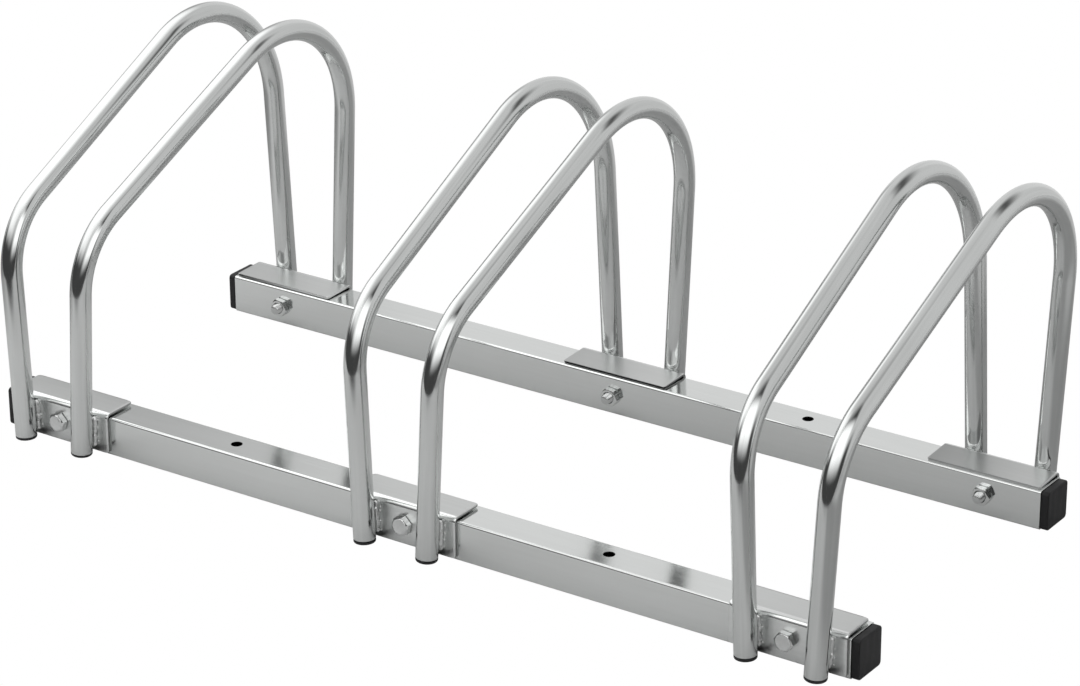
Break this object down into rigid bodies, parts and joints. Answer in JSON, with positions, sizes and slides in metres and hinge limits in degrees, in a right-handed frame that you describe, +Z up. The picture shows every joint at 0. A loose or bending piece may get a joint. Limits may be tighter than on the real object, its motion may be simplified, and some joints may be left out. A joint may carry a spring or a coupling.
{
  "type": "bicycle parking stand",
  "caption": "Low floor stand with square-tube rails and bent round-tube hoops that hold bicycle wheels upright side by side.",
  "frame": {"origin": "centre of the stand's footprint, on the floor", "axes": "+X along the rails to the right when the low side faces the viewer, +Y from the low front hoop side to the tall rear side, +Z up"},
  "size_m": [0.728, 0.3334, 0.2699],
  "materials": {
    "rail_zinc": "bright zinc plate, satin, drawn along the rail",
    "bracket_zinc": "bright zinc plate, satin, with small weld seams",
    "hoop_zinc": "bright zinc plate, semi-gloss, with faint streaks along the tube",
    "fastener_zinc": "bright zinc plate",
    "cap_plastic": "black moulded plastic, fine-grained",
    "plug_plastic": "black moulded plastic"
  },
  "bodies": {
    "root": {"front_rail": "rail_zinc", "front_rail_cap_left": "cap_plastic", "front_rail_cap_right": "cap_plastic", "front_bracket_left": "bracket_zinc", "front_bolt_left": "fastener_zinc", "front_nut_left": "fastener_zinc", "front_bracket_middle": "bracket_zinc", "front_bolt_middle": "fastener_zinc", "front_nut_middle": "fastener_zinc", "front_bracket_right": "bracket_zinc", "front_bolt_right": "fastener_zinc", "front_nut_right": "fastener_zinc", "rear_rail": "rail_zinc", "rear_rail_cap_left": "cap_plastic", "rear_rail_cap_right": "cap_plastic", "rear_bracket_left": "bracket_zinc", "rear_bolt_left": "fastener_zinc", "rear_nut_left": "fastener_zinc", "rear_bracket_middle": "bracket_zinc", "rear_bolt_middle": "fastener_zinc", "rear_nut_middle": "fastener_zinc", "rear_bracket_right": "bracket_zinc", "rear_bolt_right": "fastener_zinc", "rear_nut_right": "fastener_zinc", "left_holder_left_hoop": "hoop_zinc", "left_holder_left_hoop_front_plug": "plug_plastic", "left_holder_left_hoop_rear_plug": "plug_plastic", "left_holder_right_hoop": "hoop_zinc", "left_holder_right_hoop_front_plug": "plug_plastic", "left_holder_right_hoop_rear_plug": "plug_plastic", "middle_holder_left_hoop": "hoop_zinc", "middle_holder_left_hoop_front_plug": "plug_plastic", "middle_holder_left_hoop_rear_plug": "plug_plastic", "middle_holder_right_hoop": "hoop_zinc", "middle_holder_right_hoop_front_plug": "plug_plastic", "middle_holder_right_hoop_rear_plug": "plug_plastic", "right_holder_left_hoop": "hoop_zinc", "right_holder_left_hoop_front_plug": "plug_plastic", "right_holder_left_hoop_rear_plug": "plug_plastic", "right_holder_right_hoop": "hoop_zinc", "right_holder_right_hoop_front_plug": "plug_plastic", "right_holder_right_hoop_rear_plug": "plug_plastic"}
  },
  "joints": []
}
